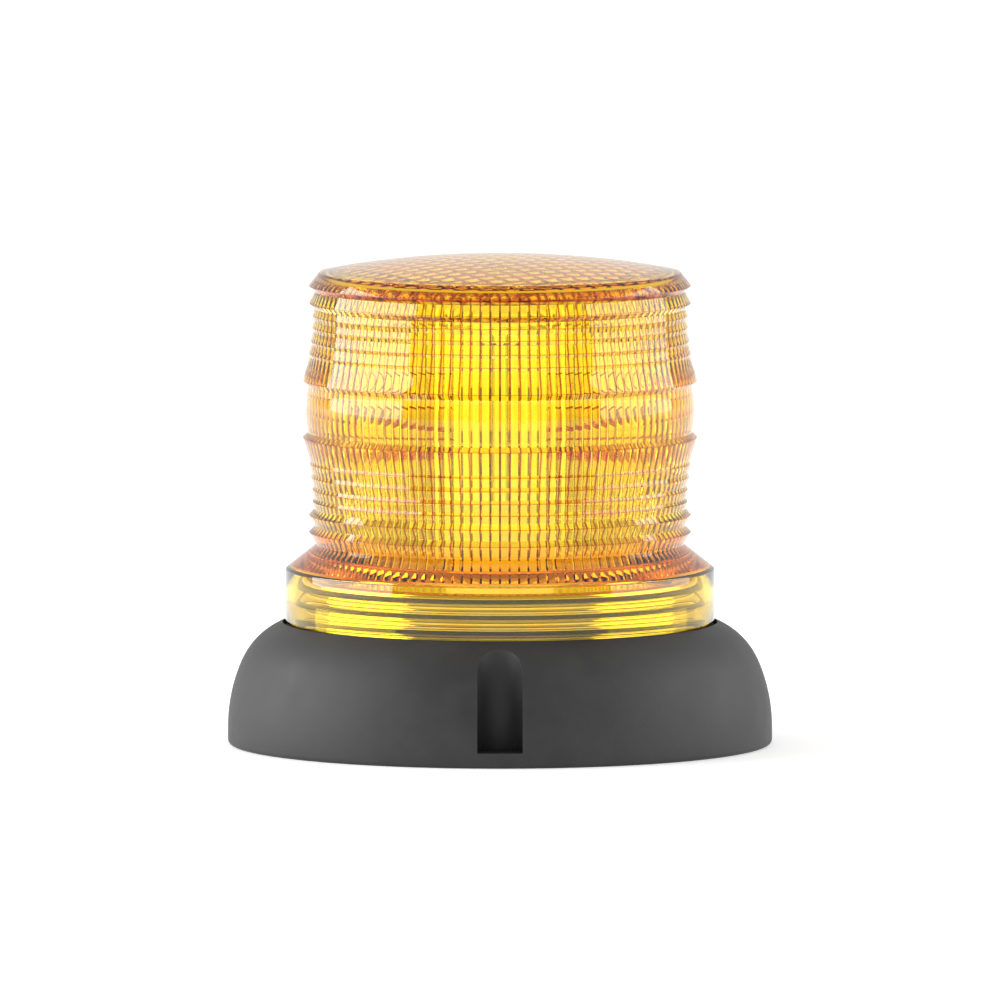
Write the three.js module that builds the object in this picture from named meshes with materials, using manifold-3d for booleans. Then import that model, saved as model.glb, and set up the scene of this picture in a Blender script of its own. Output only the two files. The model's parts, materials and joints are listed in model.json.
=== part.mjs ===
// A battery warning beacon: an amber lens screwed on a bright collar, on a magnetic base in a rubber boot.
// Millimetres, +Z up. The origin is the centre of the underside, and the boot's pocket faces -Y.
import * as THREE from "three";
import { mergeVertices } from "three/addons/utils/BufferGeometryUtils.js";
import Module from "manifold-3d";

// ---- Driving dimensions ----

const GAP = 0.3; // between pieces that touch

const BOOT_RADIUS = 70;
const BOOT_FOOT_ROUND = 1.2;
const BOOT_WALL_ARC = { r: 28.5, z: 4.5, radius: 41.5, end: 24 };
const BOOT_CROWN_ARC = { r: 49.04, z: 13.67, radius: 19 };
const BOOT_TOP_RADIUS = 55.9; // where the crown stops at the lens seat
const BOOT_HOLE_RADIUS = 52;
const BOOT_NECK_RADIUS = 53.7; // the boot's bore round the collar's foot
const BOOT_LIP = 1.5; // thickness of the boot's top lip
const SEAT_Z = 29.9; // the step in the boot that the lens gasket lies on

const POCKET_RADIUS = 5.8;
const POCKET_CENTRE_Y = -65.2;
const POCKET_FLOOR_Z = 3.9;

const PAD_THICKNESS = 1.5;
const CUP_RADIUS = 51;
const CUP_WALL = 2;
const CUP_TOP_Z = 8.6;
const CUP_PLATE = 1.5;
const MAGNET_BOTTOM_Z = 1.8;
const MAGNET_TOP_Z = 6.8;

const PAN_RADIUS = 56;
const PAN_BOTTOM_Z = 2.8;
const PAN_FLOOR_Z = 8.9;
const PAN_TOP_Z = 25.9;
const PAN_RIM_RADIUS = 53.4;
const PAN_INNER = 53.6;
const PAN_RIM_INNER = 50.5;
const POST_CIRCLE = 45;
const POST_ANGLES = [90, 210, 330];
const POST_RADIUS = 3.2;
const BOSS_ANGLES = [30, 150, 270];
const BOSS_TOP_Z = 17;

const CELL_RADIUS = 7.25;
const CELL_LENGTH = 50.5;
const CELL_PITCH = 15.6;
const CELL_Z = 19.95;
const CELL_TIP_RADIUS = 2.7;
const CELL_TIP = 1.2;
const HOLDER_HALF_X = 31;
const HOLDER_HALF_Y = 32.2;
const HOLDER_TOP_Z = 22;
const BAY_HALF_X = 28.6;
const PLATE_X = 28.8; // the inner face of each contact plate

const COVER_Z = 27.9;
const BOARD_Z = 32.5;
const SHEET = 2; // thickness of the moulded plates
const BOARD_THICKNESS = 1.6;
const BOARD_RADIUS = 40;
const SPACER_CIRCLE = 33;
const SWITCH_Z = BOARD_Z + BOARD_THICKNESS + GAP;

const COLLAR_RADIUS = 51.4;
const COLLAR_INNER = 48.9;
const COLLAR_FOOT_RADIUS = 53.3;
const COLLAR_FOOT_TOP_Z = SEAT_Z - 1.8;
const CABLE_HOLE_RADIUS = 5;
const DECK_Z = 42.9;
const SCREW_SEAT_Z = 40.4;
const SCREW_HOLE_RADIUS = 1.9;
const RECESS_RADIUS = 3.1;
const RING_PITCH = 3.9;
const RING_FIRST_Z = 33.2;
const RING_OUTER = 52.5;
const RING_HALF = 0.55;

const TOWER_FLANGE = 24;
const TOWER_SCREW_CIRCLE = 20.5;
const TOWER_SCREW_HOLE = 1.6;
const TOWER_BORE = 9.5;
const BOLT_HOLE = 2.2;
const TOWER_POST_TOP = 66;
const HEAT_SINK_TOP = 104;
const HEAT_SINK_APOTHEM = 12.5;
const LED_BOARD_WIDTH = 12.6;
const LED_HALF = 2.7;
const LED_HEIGHTS = [77, 86, 95];
const CAP_RADIUS = 17.5;

const BUTTON_Y = 33;
const BUTTON_RADIUS = 5;
const BUTTON_RISE = 2.7; // above the deck
const BUTTON_STEM = 2;
const BUTTON_STEM_Z = 38.1;
const BUTTON_RIM = 6.6;

const SKIRT_BOTTOM_Z = 31.5;
const SKIRT_RADIUS = 55.2;
const SKIRT_INNER = 53;
const DOME_RADIUS = 255;
const LENS_TOP_Z = 125.8;
const LENS_WALL = 3;
const LENS_INNER = 44.9;
const FLANGE_TOP_Z = 45.2;

// Each prism ring of the lens: the height and radius of its edge, then those of the groove above it.
const LOWER_RINGS = [
  [54.7, 49.2, 56.3, 47.6],
  [59.1, 49.2, 60.7, 47.8],
  [62.6, 48.3, 63.5, 47.8],
  [65.7, 48.4, 66.6, 47.9],
  [68.9, 48.8, 70.0, 48.4],
  [72.3, 49.2, 73.1, 48.9],
  [79.1, 50.8, 80.4, 49.5],
];
const UPPER_RINGS = [
  [93.7, 50.8, 99.9, 49.0],
  [100.7, 49.2, 103.1, 48.5],
  [103.9, 48.8, 106.4, 48.1],
  [107.4, 48.5, 109.2, 47.9],
  [110.5, 48.4, 112.3, 47.8],
  [113.6, 49.2, 116.7, 47.6],
];

// ---- Materials ----

const finish = (color, roughness, metalness = 0, extra = {}) =>
  new THREE.MeshStandardMaterial({ color, roughness, metalness, ...extra });

const amber = finish(0xf5b81c, 0.08, 0, { transparent: true, opacity: 0.55 });
const bootRubber = finish(0x333333, 0.7);
const sealRubber = finish(0x1c1c1c, 0.6);
const blackPlastic = finish(0x26282a, 0.5);
const whitePlastic = finish(0xf2f0ea, 0.45);
const reflector = finish(0xe6e4dc, 0.15, 1);
const steel = finish(0xb9bcc0, 0.35, 1);
const ferrite = finish(0x3c3a3c, 0.6, 0.3);
const aluminium = finish(0xc8cacc, 0.4, 1);
const boardGreen = finish(0x1f5a38, 0.5);
const cellWrap = finish(0x3b4a63, 0.35);
const wireRed = finish(0xb02018, 0.5);
const wireBlack = finish(0x151515, 0.5);
const buttonOrange = finish(0xd8641c, 0.5);

// ---- Geometry helpers ----

const wasm = await Module();
wasm.setup();

const radians = (degrees) => (degrees * Math.PI) / 180;
const degrees = (angle) => (angle * 180) / Math.PI;

function polarAll(radius, angles) {
  return angles.map((angle) => polar(radius, angle));
}

function polar(radius, degrees) {
  return [radius * Math.cos(radians(degrees)), radius * Math.sin(radians(degrees))];
}

// Points [r, z] of an arc, its angles in degrees up from the outward direction.
function arc({ r, z, radius }, from, to, steps) {
  const points = [];
  for (let i = 0; i <= steps; i++) {
    const angle = radians(from + ((to - from) * i) / steps);
    points.push([r + radius * Math.cos(angle), z + radius * Math.sin(angle)]);
  }
  return points;
}

// Turns an outline of [r, z] points, listed counterclockwise, about Z.
function revolve(outline, sides = 32) {
  const points = outline.map(([r, z]) => new THREE.Vector2(r, z));
  const onAxis = outline[0][0] === 0;
  if (!onAxis) points.push(points[0].clone());
  return new THREE.LatheGeometry(points, sides).rotateX(Math.PI / 2);
}

function tube(inner, outer, bottom, top, sides = 32) {
  return revolve([[inner, bottom], [outer, bottom], [outer, top], [inner, top]], sides);
}

function rod(radius, bottom, top, [x, y] = [0, 0], sides = 12) {
  const outline = [[0, bottom], [radius, bottom], [radius, top], [0, top]];
  return revolve(outline, sides).translate(x, y, 0);
}

function block(low, high) {
  const size = high.map((value, i) => value - low[i]);
  return new THREE.BoxGeometry(...size).translate(...low.map((value, i) => value + size[i] / 2));
}

function toSolid(geometry) {
  const bare = geometry.index ? geometry.toNonIndexed() : geometry.clone();
  bare.deleteAttribute("normal");
  bare.deleteAttribute("uv");
  const merged = mergeVertices(bare, 1e-4);
  const triVerts = new Uint32Array(merged.index.array);
  const vertProperties = merged.attributes.position.array;
  return new wasm.Manifold(new wasm.Mesh({ numProp: 3, vertProperties, triVerts }));
}

function toGeometry(solid) {
  const mesh = solid.getMesh();
  const geometry = new THREE.BufferGeometry();
  geometry.setAttribute("position", new THREE.BufferAttribute(mesh.vertProperties, 3));
  geometry.setIndex(new THREE.BufferAttribute(mesh.triVerts, 1));
  return geometry;
}

function cut(geometry, tools) {
  return toGeometry(tools.reduce((left, tool) => left.subtract(toSolid(tool)), toSolid(geometry)));
}

function join(geometry, others) {
  return toGeometry(others.reduce((whole, other) => whole.add(toSolid(other)), toSolid(geometry)));
}

// A round wire along a curve.
function wire(curve, radius, steps, sides = 6) {
  const section = new THREE.Shape();
  section.absarc(0, 0, radius, 0, 2 * Math.PI);
  const settings = { steps, curveSegments: sides / 2, bevelEnabled: false, extrudePath: curve };
  return new THREE.ExtrudeGeometry(section, settings);
}

class Helix extends THREE.Curve {
  constructor(startRadius, endRadius, height, turns) {
    super();
    Object.assign(this, { startRadius, endRadius, height, turns });
  }

  getPoint(t, target = new THREE.Vector3()) {
    const angle = 2 * Math.PI * this.turns * t;
    const radius = this.startRadius + (this.endRadius - this.startRadius) * t;
    return target.set(radius * Math.cos(angle), radius * Math.sin(angle), this.height * t);
  }
}

// A pan-head screw that points down, with its head's underside at seat.
function screw(shank, head, seat, length, place) {
  const outline = [
    [0, seat - length],
    [shank, seat - length],
    [shank, seat],
    [head, seat],
    [head, seat + head * 0.5],
    [head * 0.7, seat + head * 0.8],
    [0, seat + head * 0.8],
  ];
  return revolve(outline, 12).translate(...place, 0);
}

// ---- Base ----

function bootOutline() {
  const { r, radius } = BOOT_CROWN_ARC;
  const crownEnd = degrees(Math.acos((BOOT_TOP_RADIUS - r) / radius));
  const foot = { r: BOOT_RADIUS - BOOT_FOOT_ROUND, z: BOOT_FOOT_ROUND, radius: BOOT_FOOT_ROUND };
  const lipRadius = COLLAR_RADIUS + 0.4;
  const panRadius = PAN_RADIUS + GAP;
  const footTop = PAN_BOTTOM_Z - GAP;
  return [
    [BOOT_HOLE_RADIUS, 0],
    ...arc(foot, -90, 0, 2),
    ...arc(BOOT_WALL_ARC, 0, BOOT_WALL_ARC.end, 4),
    ...arc(BOOT_CROWN_ARC, BOOT_WALL_ARC.end, crownEnd, 7).slice(1),
    [BOOT_TOP_RADIUS, SEAT_Z],
    [lipRadius, SEAT_Z],
    [lipRadius, SEAT_Z - BOOT_LIP],
    [BOOT_NECK_RADIUS, SEAT_Z - BOOT_LIP],
    [BOOT_NECK_RADIUS, PAN_TOP_Z + GAP],
    [panRadius, PAN_TOP_Z - 2.2],
    [panRadius, footTop],
    [BOOT_HOLE_RADIUS, footTop],
  ];
}

// The upright pocket has straight sides and a round back.
function pocketCutter() {
  const plan = new THREE.Shape();
  const outside = -BOOT_RADIUS - 5;
  plan.moveTo(-POCKET_RADIUS, outside);
  plan.lineTo(POCKET_RADIUS, outside);
  plan.lineTo(POCKET_RADIUS, POCKET_CENTRE_Y);
  plan.absarc(0, POCKET_CENTRE_Y, POCKET_RADIUS, 0, Math.PI);
  const settings = { depth: SEAT_Z, bevelEnabled: false, curveSegments: 12 };
  return new THREE.ExtrudeGeometry(plan, settings).translate(0, 0, POCKET_FLOOR_Z);
}

function rubberBoot() {
  return cut(revolve(bootOutline(), 40), [pocketCutter()]);
}

function magnetCup() {
  const under = CUP_TOP_Z - CUP_PLATE;
  const outline = [
    [0, under],
    [CUP_RADIUS - CUP_WALL, under],
    [CUP_RADIUS - CUP_WALL, MAGNET_BOTTOM_Z],
    [CUP_RADIUS, MAGNET_BOTTOM_Z],
    [CUP_RADIUS, CUP_TOP_Z],
    [0, CUP_TOP_Z],
  ];
  const holes = polarAll(POST_CIRCLE, BOSS_ANGLES).map((place) => rod(2, under - 2, CUP_TOP_Z + 2, place));
  return cut(revolve(outline), holes);
}

function basePan() {
  const outline = [
    [0, PAN_FLOOR_Z],
    [CUP_RADIUS + 0.4, PAN_FLOOR_Z],
    [CUP_RADIUS + 0.4, PAN_BOTTOM_Z],
    [PAN_RADIUS, PAN_BOTTOM_Z],
    [PAN_RADIUS, PAN_TOP_Z - 2.4],
    [PAN_RIM_RADIUS, PAN_TOP_Z],
    [PAN_RIM_INNER, PAN_TOP_Z],
    [PAN_RIM_INNER, PAN_TOP_Z - 1.4],
    [PAN_INNER, PAN_TOP_Z - 4],
    [PAN_INNER, PAN_FLOOR_Z + SHEET],
    [0, PAN_FLOOR_Z + SHEET],
  ];
  const floor = PAN_FLOOR_Z + 1;
  const postPlaces = polarAll(POST_CIRCLE, POST_ANGLES);
  const bossPlaces = polarAll(POST_CIRCLE, BOSS_ANGLES);
  const posts = postPlaces.map((place) => rod(POST_RADIUS, floor, COVER_Z - GAP, place));
  const bosses = bossPlaces.map((place) => rod(POST_RADIUS, floor, BOSS_TOP_Z, place));
  const postHoles = postPlaces.map((place) => rod(1.8, 14, COVER_Z + 2, place));
  const bossHoles = bossPlaces.map((place) => rod(1.8, PAN_FLOOR_Z - 1, BOSS_TOP_Z - 2, place));
  return cut(join(revolve(outline), [...posts, ...bosses]), [...postHoles, ...bossHoles]);
}

// ---- Batteries ----

const cellPlaces = [-1.5, -0.5, 0.5, 1.5].map((step) => step * CELL_PITCH);

// A bay is round below the cell's axis and open above it.
function batteryBay(y) {
  const round = rod(CELL_RADIUS + 0.25, -BAY_HALF_X, BAY_HALF_X, [0, 0], 16);
  const half = CELL_RADIUS + 0.05;
  const mouth = block([-BAY_HALF_X, y - half, CELL_Z], [BAY_HALF_X, y + half, HOLDER_TOP_Z + 3]);
  return [round.rotateY(Math.PI / 2).translate(0, y, CELL_Z), mouth];
}

function plateSlot(side) {
  const middle = side * (PLATE_X + 0.2);
  return block([middle - 0.5, -30.9, 12.6], [middle + 0.5, 30.9, HOLDER_TOP_Z + 3]);
}

function batteryHolder() {
  const low = [-HOLDER_HALF_X, -HOLDER_HALF_Y, PAN_FLOOR_Z + SHEET + GAP];
  const box = block(low, [HOLDER_HALF_X, HOLDER_HALF_Y, HOLDER_TOP_Z]);
  return cut(box, [...cellPlaces.flatMap(batteryBay), plateSlot(-1), plateSlot(1)]);
}

// A cell that lies along X, its raised end towards +X.
function cell() {
  const half = CELL_LENGTH / 2;
  const outline = [
    [0, -half],
    [CELL_RADIUS - 0.6, -half],
    [CELL_RADIUS, -half + 0.6],
    [CELL_RADIUS, half - CELL_TIP],
    [CELL_TIP_RADIUS, half - CELL_TIP],
    [CELL_TIP_RADIUS, half],
    [0, half],
  ];
  return revolve(outline, 16).rotateY(Math.PI / 2);
}

function contactPlate(side) {
  const middle = side * (PLATE_X + 0.2);
  return block([middle - 0.2, -30, 13], [middle + 0.2, 30, 26]);
}

function contactSpring() {
  const length = PLATE_X - CELL_LENGTH / 2 - 2 * GAP - 0.7;
  return wire(new Helix(3.6, 2.4, length, 2), 0.35, 16, 6).rotateY(Math.PI / 2);
}

// ---- Cover, board and wiring ----

function batteryCover() {
  const holeAt = (place) => rod(SCREW_HOLE_RADIUS, COVER_Z - 1, COVER_Z + 3, place);
  const screwHoles = polarAll(POST_CIRCLE, POST_ANGLES).map(holeAt);
  const wireSlot = block([-36.5, -7.5, COVER_Z - 1], [-31.5, 7.5, COVER_Z + 3]);
  const plate = rod(COLLAR_INNER - GAP, COVER_Z, COVER_Z + SHEET, [0, 0], 32);
  return cut(plate, [...screwHoles, wireSlot]);
}

function mainBoard() {
  const top = BOARD_Z + BOARD_THICKNESS;
  const holes = polarAll(SPACER_CIRCLE, BOSS_ANGLES).map((place) => rod(1.6, BOARD_Z - 1, top + 1, place));
  return cut(rod(BOARD_RADIUS, BOARD_Z, top, [0, 0], 32), holes);
}

function boardSpacer(angle) {
  const spacer = tube(1.6, 3, COVER_Z + SHEET + GAP, BOARD_Z - GAP, 12);
  return spacer.translate(...polar(SPACER_CIRCLE, angle), 0);
}

function boardScrew(angle) {
  return screw(1.25, 2.6, SWITCH_Z, 3.8, polar(SPACER_CIRCLE, angle));
}

function batteryWire(y) {
  const points = [
    [-30.2, y, 24.5],
    [-32.4, y, 25.6],
    [-34, y, 28.2],
    [-33.6, y, 30.6],
    [-33, y, 32.1],
  ];
  return wire(new THREE.CatmullRomCurve3(points.map((p) => new THREE.Vector3(...p))), 0.6, 10);
}

function ledLead() {
  const points = [
    [0, 0, 34.6],
    [0.6, 1.2, 42],
    [-0.8, 0.6, 52],
    [0, 0, 60],
  ];
  return wire(new THREE.CatmullRomCurve3(points.map((p) => new THREE.Vector3(...p))), 1.4, 12);
}

// ---- Collar ----

function collarDeck() {
  const outline = [
    [COLLAR_INNER, PAN_TOP_Z + GAP],
    [COLLAR_FOOT_RADIUS, PAN_TOP_Z + GAP],
    [COLLAR_FOOT_RADIUS, COLLAR_FOOT_TOP_Z],
    [COLLAR_RADIUS, COLLAR_FOOT_TOP_Z],
    [COLLAR_RADIUS, DECK_Z - 1],
    [COLLAR_RADIUS - 1, DECK_Z],
    [CABLE_HOLE_RADIUS, DECK_Z],
    [CABLE_HOLE_RADIUS, DECK_Z - SHEET],
    [COLLAR_INNER, DECK_Z - SHEET],
  ];
  const above = DECK_Z + 2;
  const below = DECK_Z - SHEET - 3;
  const posts = polarAll(POST_CIRCLE, POST_ANGLES);
  const towerScrews = polarAll(TOWER_SCREW_CIRCLE, POST_ANGLES);
  const pillars = posts.map((place) => rod(4, COVER_Z + SHEET + GAP, DECK_Z - 1, place));
  const holes = [
    ...posts.map((place) => rod(SCREW_HOLE_RADIUS, PAN_TOP_Z, above, place)),
    ...posts.map((place) => rod(RECESS_RADIUS, SCREW_SEAT_Z - GAP, above, place)),
    ...towerScrews.map((place) => rod(TOWER_SCREW_HOLE, below, above, place)),
    rod(BUTTON_RADIUS + 0.35, below, above, [0, BUTTON_Y], 16),
  ];
  return cut(join(revolve(outline), pillars), holes);
}

function sealRing(index) {
  const middle = RING_FIRST_Z + index * RING_PITCH;
  const inner = COLLAR_RADIUS + GAP / 2;
  const shoulder = RING_OUTER - 0.3;
  const outline = [
    [inner, middle - RING_HALF],
    [shoulder, middle - RING_HALF],
    [RING_OUTER, middle - RING_HALF / 2],
    [RING_OUTER, middle + RING_HALF / 2],
    [shoulder, middle + RING_HALF],
    [inner, middle + RING_HALF],
  ];
  return revolve(outline, 32);
}

// ---- Light tower ----

function hexPrism(apothem, bottom, top) {
  return rod(apothem / Math.cos(Math.PI / 6), bottom, top, [0, 0], 6);
}

function towerPost() {
  const foot = DECK_Z + GAP;
  const flange = rod(TOWER_FLANGE, foot, foot + SHEET, [0, 0], 32);
  const column = hexPrism(HEAT_SINK_APOTHEM + 1.5, foot, TOWER_POST_TOP);
  const hollow = rod(TOWER_BORE, foot - 1, TOWER_POST_TOP - 3, [0, 0], 16);
  const boltHole = rod(BOLT_HOLE, foot, TOWER_POST_TOP + 1);
  const holeAt = (place) => rod(TOWER_SCREW_HOLE, foot - 1, foot + SHEET + 2, place);
  const screwHoles = polarAll(TOWER_SCREW_CIRCLE, POST_ANGLES).map(holeAt);
  return cut(join(flange, [column]), [hollow, boltHole, ...screwHoles]);
}

function towerScrew(angle) {
  return screw(1.25, 2.6, DECK_Z + SHEET + 2 * GAP, 6, polar(TOWER_SCREW_CIRCLE, angle));
}

function heatSink() {
  const bottom = TOWER_POST_TOP + GAP;
  const bar = hexPrism(HEAT_SINK_APOTHEM, bottom, HEAT_SINK_TOP);
  return cut(bar, [rod(BOLT_HOLE, bottom - 1, HEAT_SINK_TOP + 1)]);
}

// A board on the heat sink's +X face, with one square light at each height.
function ledStrip() {
  const face = HEAT_SINK_APOTHEM + GAP;
  const half = LED_BOARD_WIDTH / 2;
  const board = block([face, -half, TOWER_POST_TOP + 2], [face + 1.6, half, HEAT_SINK_TOP - 1.5]);
  const light = (z) => block([face + 1, -LED_HALF, z - LED_HALF], [face + 2.8, LED_HALF, z + LED_HALF]);
  return join(board, LED_HEIGHTS.map(light));
}

function towerCap() {
  const foot = HEAT_SINK_TOP + GAP;
  const outline = [
    [BOLT_HOLE, foot],
    [14, foot],
    [CAP_RADIUS, foot + 2],
    [CAP_RADIUS, foot + 2.8],
    [13, foot + 2.8],
    [10, foot + 1.8],
    [BOLT_HOLE, foot + 1.8],
  ];
  return revolve(outline, 32);
}

function towerBolt() {
  return screw(1.8, 3.6, HEAT_SINK_TOP + 2 * GAP + 1.8, 44, [0, 0]);
}

// ---- Button ----

function powerButton() {
  const under = DECK_Z - SHEET - GAP;
  const top = DECK_Z + BUTTON_RISE;
  const outline = [
    [0, BUTTON_STEM_Z],
    [BUTTON_STEM, BUTTON_STEM_Z],
    [BUTTON_STEM, under - 1.8],
    [BUTTON_RIM, under - 1.8],
    [BUTTON_RIM, under],
    [BUTTON_RADIUS, under],
    [BUTTON_RADIUS, top - 0.7],
    [BUTTON_RADIUS - 0.8, top],
    [0, top],
  ];
  return revolve(outline, 16).translate(0, BUTTON_Y, 0);
}

function buttonSpring() {
  const spring = wire(new Helix(3.6, 3.6, 3.2, 3), 0.3, 24, 6);
  return spring.translate(0, BUTTON_Y, SWITCH_Z + 0.4);
}

// ---- Lens ----

function domePoints(radius, from, to, steps) {
  const centreZ = LENS_TOP_Z - DOME_RADIUS;
  const points = [];
  for (let i = 0; i <= steps; i++) {
    const r = from + ((to - from) * i) / steps;
    points.push([r, centreZ + Math.sqrt(radius * radius - r * r)]);
  }
  return points;
}

// Up the outside from the skirt to the top, then down the inside.
function lensOutline() {
  const ring = ([edgeZ, edge, grooveZ, groove]) => [[edge, edgeZ], [groove, grooveZ]];
  return [
    [SKIRT_INNER, SKIRT_BOTTOM_Z],
    [SKIRT_RADIUS, SKIRT_BOTTOM_Z],
    [SKIRT_RADIUS, FLANGE_TOP_Z],
    [47.3, 51.4],
    ...LOWER_RINGS.flatMap(ring),
    [50.1, 86],
    [49.5, 92.4],
    ...UPPER_RINGS.flatMap(ring),
    [49.2, 118.1],
    ...domePoints(DOME_RADIUS, 46.4, 0, 3),
    ...domePoints(DOME_RADIUS - LENS_WALL, 0, 42, 3),
    [LENS_INNER, 117],
    [LENS_INNER, FLANGE_TOP_Z + 1.3],
    [LENS_INNER + 0.7, FLANGE_TOP_Z + 0.6],
    [SKIRT_INNER - 0.6, FLANGE_TOP_Z],
    [SKIRT_INNER, FLANGE_TOP_Z - 0.6],
  ];
}

function lens() {
  const outline = lensOutline();
  const top = outline.findIndex(([r]) => r === 0);
  return revolve([...outline.slice(top + 1), ...outline.slice(0, top + 1)], 36);
}

// ---- Assembly ----

const beacon = new THREE.Group();

function add(name, geometry, material, parent = beacon) {
  const mesh = new THREE.Mesh(geometry, material);
  mesh.name = name;
  parent.add(mesh);
  return mesh;
}

function addBase() {
  add("rubber_boot", rubberBoot(), bootRubber);
  add("base_pad", rod(BOOT_HOLE_RADIUS - GAP, 0, PAD_THICKNESS, [0, 0], 32), sealRubber);
  add("magnet_cup", magnetCup(), steel);
  add("magnet_ring", tube(16, 38, MAGNET_BOTTOM_Z, MAGNET_TOP_Z), ferrite);
  add("centre_pole", rod(13, MAGNET_BOTTOM_Z, MAGNET_TOP_Z, [0, 0], 24), steel);
  add("base_pan", basePan(), blackPlastic);
  BOSS_ANGLES.forEach((angle, i) => {
    const place = polar(POST_CIRCLE, angle);
    const seat = CUP_TOP_Z - CUP_PLATE - GAP;
    const upright = screw(1.5, 3, 0, 6, [0, 0]).rotateX(Math.PI).translate(...place, seat);
    add(`magnet_screw_${i + 1}`, upright, steel);
  });
}

function addBatteries() {
  add("battery_holder", batteryHolder(), blackPlastic);
  cellPlaces.forEach((y, i) => {
    const turned = i % 2 === 1;
    const battery = add(`battery_${i + 1}`, cell(), cellWrap);
    battery.position.set(0, y, CELL_Z);
    battery.rotation.z = turned ? Math.PI : 0;
    const spring = add(`contact_spring_${i + 1}`, contactSpring(), steel);
    spring.position.set((turned ? 1 : -1) * (PLATE_X - GAP - 0.4), y, CELL_Z);
    spring.rotation.z = turned ? Math.PI : 0;
  });
  add("contact_plate_left", contactPlate(-1), steel);
  add("contact_plate_right", contactPlate(1), steel);
}

function addElectronics() {
  add("battery_cover", batteryCover(), blackPlastic);
  add("main_board", mainBoard(), boardGreen);
  BOSS_ANGLES.forEach((angle, i) => {
    add(`board_spacer_${i + 1}`, boardSpacer(angle), whitePlastic);
    add(`board_screw_${i + 1}`, boardScrew(angle), steel);
  });
  add("tact_switch", rod(2.6, SWITCH_Z, SWITCH_Z + 1.8, [0, BUTTON_Y]), blackPlastic);
  add("driver_chip", block([12, -8, SWITCH_Z], [22, 2, SWITCH_Z + 1.6]), blackPlastic);
  add("capacitor", rod(4, SWITCH_Z, SWITCH_Z + 5.6, [-12, 14], 16), aluminium);
  add("battery_wire_red", batteryWire(5), wireRed);
  add("battery_wire_black", batteryWire(-5), wireBlack);
  add("led_lead", ledLead(), whitePlastic);
}

function addCollar() {
  add("collar_deck", collarDeck(), reflector);
  [0, 1, 2].forEach((index) => add(`seal_ring_${index + 1}`, sealRing(index), sealRubber));
  POST_ANGLES.forEach((angle, i) => {
    const place = polar(POST_CIRCLE, angle);
    add(`housing_screw_${i + 1}`, screw(1.5, 2.8, SCREW_SEAT_Z, 24, place), steel);
  });
}

function addTower() {
  add("tower_post", towerPost(), whitePlastic);
  POST_ANGLES.forEach((angle, i) => add(`tower_screw_${i + 1}`, towerScrew(angle), steel));
  add("heat_sink", heatSink(), aluminium);
  for (let i = 0; i < 6; i++) {
    const strip = add(`led_strip_${i + 1}`, ledStrip(), whitePlastic);
    strip.rotation.z = radians(60 * i);
  }
  add("tower_cap", towerCap(), whitePlastic);
  add("tower_bolt", towerBolt(), steel);
}

function addButton() {
  add("power_button", powerButton(), buttonOrange);
  add("button_spring", buttonSpring(), steel);
}

function addLens() {
  const gasket = tube(SKIRT_INNER, SKIRT_RADIUS - GAP, SEAT_Z + GAP, SKIRT_BOTTOM_Z - GAP);
  add("lens_gasket", gasket, sealRubber);
  add("lens", lens(), amber);
}

addBase();
addBatteries();
addElectronics();
addCollar();
addTower();
addButton();
addLens();

export default beacon;
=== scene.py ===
import json
from math import acos, cos, degrees, pi, radians, sin, sqrt, tau

import bmesh
import bpy
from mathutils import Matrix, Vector


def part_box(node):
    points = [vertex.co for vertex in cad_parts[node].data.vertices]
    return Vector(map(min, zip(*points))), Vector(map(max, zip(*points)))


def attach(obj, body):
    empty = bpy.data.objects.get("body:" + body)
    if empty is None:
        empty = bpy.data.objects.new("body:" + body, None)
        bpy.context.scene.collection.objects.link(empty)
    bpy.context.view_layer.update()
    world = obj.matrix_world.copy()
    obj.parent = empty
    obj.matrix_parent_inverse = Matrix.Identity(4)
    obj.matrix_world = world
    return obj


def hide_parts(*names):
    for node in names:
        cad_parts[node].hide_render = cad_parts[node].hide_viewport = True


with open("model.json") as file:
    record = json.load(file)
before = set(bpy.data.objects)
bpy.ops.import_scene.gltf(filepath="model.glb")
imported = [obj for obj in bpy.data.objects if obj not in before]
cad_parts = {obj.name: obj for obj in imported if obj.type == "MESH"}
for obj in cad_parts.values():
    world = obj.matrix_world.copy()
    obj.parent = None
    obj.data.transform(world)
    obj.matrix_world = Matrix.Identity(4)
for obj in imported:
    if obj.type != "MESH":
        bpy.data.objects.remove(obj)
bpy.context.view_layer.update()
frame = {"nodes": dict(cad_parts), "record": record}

# The beacon's looks: fine meshes for what shows, and materials for every piece.
# Profiles are lists of (radius, height) in millimetres, and meshes are in metres.

MM = 0.001

# The lens: a skirt, flutes up the inside of its wall, and square cells under its dome.
SKIRT_HEIGHT = 13.7
SKIRT_LIP = 53.6  # where the outer profile starts, on the skirt's foot
SKIRT_BORE = 53.0
RIM_RADIUS = 46.4  # where the rim meets the dome
FLUTES = 120
INSIDE_RADIUS = 44.9
DOME_RADIUS = 255.0
DOME_WALL = 3.0
DOME_EDGE = 42.0  # where the cells stop
CELL_MARGIN = 0.6  # mm left plain inside that edge
FADE_END, FADE_WIDTH = 0.8, 1.2  # mm in from that edge, where the cells' depth runs out
CELL_PITCH = 4.5
CELL_TURN = radians(30)

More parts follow.
